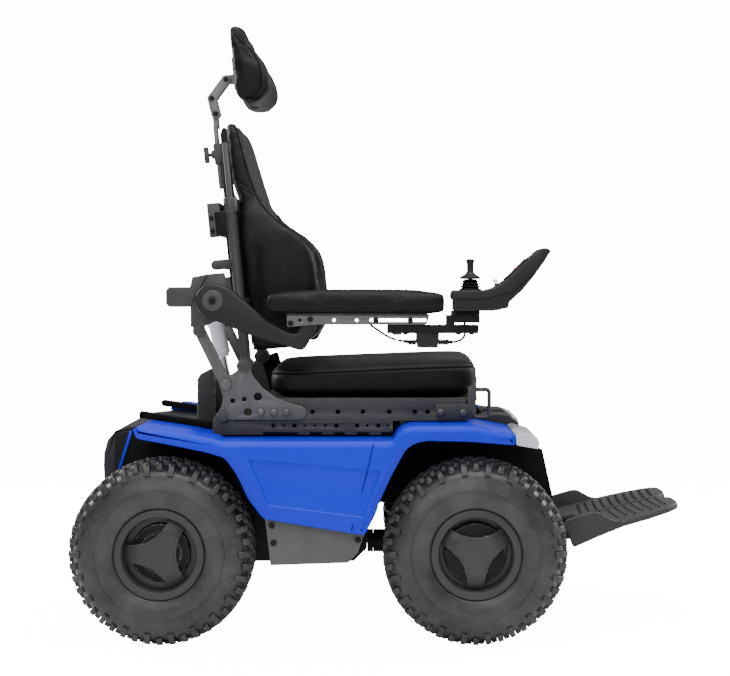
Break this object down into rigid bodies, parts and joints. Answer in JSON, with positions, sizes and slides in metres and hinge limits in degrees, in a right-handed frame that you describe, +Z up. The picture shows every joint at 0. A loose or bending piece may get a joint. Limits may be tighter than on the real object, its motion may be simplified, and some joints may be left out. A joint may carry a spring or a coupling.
{
  "type": "all terrain powered wheelchair",
  "caption": "Powered wheelchair with large lugged tyres, blue side panels, drilled grey seat frame, winged back, headrest, flip-up arms, swing-away joystick and foot platform.",
  "frame": {"origin": "centre of the footprint box on the ground", "axes": "+X forward, +Y to the occupant's left, +Z up"},
  "size_m": [1.222, 0.65, 1.2435],
  "materials": {
    "tub": "matte powder coat",
    "battery": "moulded case",
    "blue_panel": "gloss royal blue",
    "grey_plate": "satin grey",
    "liner": "matte black",
    "cover": "fine grain dark grey",
    "lamp": "pale grey lens",
    "frame": "satin grey powder coat",
    "module": "matte black",
    "motor": "cast",
    "bolt": "bright zinc",
    "dark_bolt": "black oxide",
    "pin": "ground",
    "tyre": "matte rubber",
    "rim": "dark grey satin",
    "vinyl": "black upholstery",
    "shell": "moulded",
    "cast_grey": "dark satin casting",
    "black_plastic": "fine grain black",
    "actuator": "pale tube",
    "rubber": "matte",
    "switch": "bright",
    "button": "gloss"
  },
  "bodies": {
    "chassis": {"chassis_tub": "tub", "batteries": "battery", "side_panel_right": "blue_panel", "side_panel_left": "blue_panel", "rocker_plates": "grey_plate", "wheel_arch_liners": "liner", "rear_cover": "cover", "front_hood": "cover", "headlamps": "lamp", "base_frame": "frame", "rear_tie_downs": "frame", "power_module": "module", "rear_motors": "motor", "chassis_bolts": "dark_bolt"},
    "front_axle": {"front_axle_beam": "tub", "kingpins": "pin"},
    "drive_right": {"front_drive_right": "motor"},
    "drive_left": {"front_drive_left": "motor"},
    "wheel_rear_right": {"tyre_rear_right": "tyre", "rim_rear_right": "rim"},
    "wheel_rear_left": {"tyre_rear_left": "tyre", "rim_rear_left": "rim"},
    "wheel_front_right": {"tyre_front_right": "tyre", "rim_front_right": "rim"},
    "wheel_front_left": {"tyre_front_left": "tyre", "rim_front_left": "rim"},
    "seat": {"seat_frame": "frame", "side_plates": "grey_plate", "seat_cushion": "vinyl", "front_tie_downs": "frame", "seat_bolts": "bolt"},
    "legrest": {"legrest_mast": "frame"},
    "footplate": {"foot_platform": "black_plastic"},
    "back": {"back_frame": "frame", "back_shell": "shell", "back_cushion": "vinyl"},
    "head_knob": {"headrest_knob": "black_plastic"},
    "head_bar": {"headrest_bar": "frame"},
    "head_link": {"headrest_link": "frame"},
    "head_pad": {"headrest_pad": "vinyl"},
    "actuator": {"recline_actuator": "actuator"},
    "rod": {"recline_rod": "pin"},
    "arm_carrier": {"arm_plates": "cast_grey"},
    "links": {"arm_links": "grey_plate"},
    "right_arm": {"arm_right": "cast_grey", "arm_pad_right": "vinyl", "arm_cable": "rubber"},
    "left_arm": {"arm_left": "cast_grey", "arm_pad_left": "vinyl"},
    "joystick": {"joystick_arm": "cast_grey", "joystick_pod": "black_plastic", "joystick_boot": "rubber", "junction_box": "black_plastic", "control_cable": "rubber"},
    "gimbal": {"joystick_gimbal": "pin"},
    "stick": {"joystick_stick": "black_plastic"},
    "switch_right": {"toggle_right": "switch"},
    "switch_left": {"toggle_left": "switch"},
    "button": {"power_button": "button"}
  },
  "joints": [
    {"name": "axle_roll", "type": "hinge", "parent": "chassis", "child": "front_axle", "pos_m": [0, 0, 0.155], "axis": [1, 0, 0], "range_deg": [-4, 4]},
    {"name": "steer_right", "type": "hinge", "parent": "front_axle", "child": "drive_right", "pos_m": [0.18, -0.2525, 0.181], "axis": [0, 0, 1], "range_deg": [-22, 22]},
    {"name": "steer_left", "type": "hinge", "parent": "front_axle", "child": "drive_left", "pos_m": [0.18, 0.2525, 0.181], "axis": [0, 0, 1], "range_deg": [-22, 22]},
    {"name": "spin_rear_right", "type": "hinge", "parent": "chassis", "child": "wheel_rear_right", "pos_m": [-0.43, -0.2525, 0.181], "axis": [0, 1, 0], "continuous": true},
    {"name": "spin_rear_left", "type": "hinge", "parent": "chassis", "child": "wheel_rear_left", "pos_m": [-0.43, 0.2525, 0.181], "axis": [0, 1, 0], "continuous": true},
    {"name": "spin_front_right", "type": "hinge", "parent": "drive_right", "child": "wheel_front_right", "pos_m": [0.18, -0.2525, 0.181], "axis": [0, 1, 0], "continuous": true},
    {"name": "spin_front_left", "type": "hinge", "parent": "drive_left", "child": "wheel_front_left", "pos_m": [0.18, 0.2525, 0.181], "axis": [0, 1, 0], "continuous": true},
    {"name": "seat_tilt", "type": "hinge", "parent": "chassis", "child": "seat", "pos_m": [-0.3171, 0, 0.4399], "axis": [0, -1, 0], "range_deg": [0, 25]},
    {"name": "legrest_raise", "type": "hinge", "parent": "seat", "child": "legrest", "pos_m": [0.18, 0, 0.446], "axis": [0, -1, 0], "range_deg": [0, 50]},
    {"name": "footplate_flip", "type": "hinge", "parent": "legrest", "child": "footplate", "pos_m": [0.372, 0, 0.196], "axis": [0, -1, 0], "range_deg": [0, 74]},
    {"name": "back_recline", "type": "hinge", "parent": "seat", "child": "back", "pos_m": [-0.2741, 0, 0.5391], "axis": [0, -1, 0], "range_deg": [0, 40]},
    {"name": "link_turn", "type": "hinge", "parent": "seat", "child": "links", "pos_m": [-0.3096, 0, 0.5043], "axis": [0, -1, 0], "range_deg": [0, 40]},
    {"name": "carrier_turn", "type": "hinge", "parent": "back", "child": "arm_carrier", "pos_m": [-0.3263, 0, 0.6453], "axis": [0, -1, 0], "range_deg": [-40, 0]},
    {"name": "actuator_swing", "type": "hinge", "parent": "back", "child": "actuator", "pos_m": [-0.345, -0.15, 0.65], "axis": [0, -1, 0], "range_deg": [-4, 0]},
    {"name": "rod_slide", "type": "slide", "parent": "actuator", "child": "rod", "axis": [-0.2091, 0, 0.9779], "range_m": [0, 0.036]},
    {"name": "arm_flip_right", "type": "hinge", "parent": "arm_carrier", "child": "right_arm", "pos_m": [-0.3303, -0.258, 0.6694], "axis": [0, -1, 0], "range_deg": [0, 90]},
    {"name": "arm_flip_left", "type": "hinge", "parent": "arm_carrier", "child": "left_arm", "pos_m": [-0.3303, 0.258, 0.6694], "axis": [0, -1, 0], "range_deg": [0, 90]},
    {"name": "joystick_swing", "type": "hinge", "parent": "right_arm", "child": "joystick", "pos_m": [0.0277, -0.27, 0.615], "axis": [0, 0, -1], "range_deg": [0, 75]},
    {"name": "stick_roll", "type": "hinge", "parent": "joystick", "child": "gimbal", "pos_m": [0.171, -0.27, 0.676], "axis": [1, 0, 0], "range_deg": [-15, 15], "stiffness_Nm_per_rad": 0.4, "deforming": ["joystick_boot"]},
    {"name": "stick_pitch", "type": "hinge", "parent": "gimbal", "child": "stick", "pos_m": [0.171, -0.27, 0.676], "axis": [0, 1, 0], "range_deg": [-15, 15], "stiffness_Nm_per_rad": 0.4, "deforming": ["joystick_boot"]},
    {"name": "switch_right_flip", "type": "hinge", "parent": "joystick", "child": "switch_right", "pos_m": [0.2247, -0.298, 0.6984], "axis": [0, 1, 0], "range_deg": [-12, 12], "stiffness_Nm_per_rad": 0.02},
    {"name": "switch_left_flip", "type": "hinge", "parent": "joystick", "child": "switch_left", "pos_m": [0.2247, -0.242, 0.6984], "axis": [0, 1, 0], "range_deg": [-12, 12], "stiffness_Nm_per_rad": 0.02},
    {"name": "button_press", "type": "slide", "parent": "joystick", "child": "button", "axis": [0.6871, 0, -0.7266], "range_m": [0, 0.0015], "stiffness_N_per_m": 600},
    {"name": "head_knob_turn", "type": "hinge", "parent": "back", "child": "head_knob", "pos_m": [-0.37335, 0, 0.97751], "axis": [0.9952, 0, 0.0976], "continuous": true},
    {"name": "head_height", "type": "slide", "parent": "back", "child": "head_bar", "axis": [-0.0976, 0, 0.9952], "range_m": [-0.01, 0.04]},
    {"name": "head_link_turn", "type": "hinge", "parent": "head_bar", "child": "head_link", "pos_m": [-0.35581, 0, 1.06504], "axis": [0, 1, 0], "range_deg": [-15, 15]},
    {"name": "head_pad_turn", "type": "hinge", "parent": "head_link", "child": "head_pad", "pos_m": [-0.33403, 0, 1.13801], "axis": [0, 1, 0], "range_deg": [-15, 15]}
  ],
  "couplings": [
    {"joint": "steer_left", "follows": "steer_right", "ratio": 1},
    {"joint": "link_turn", "follows": "back_recline", "ratio": 1},
    {"joint": "carrier_turn", "follows": "back_recline", "ratio": -1},
    {"joint": "actuator_swing", "follows": "back_recline", "ratio": -0.09},
    {"joint": "rod_slide", "follows": "back_recline", "m_per_rad": 0.0507}
  ]
}
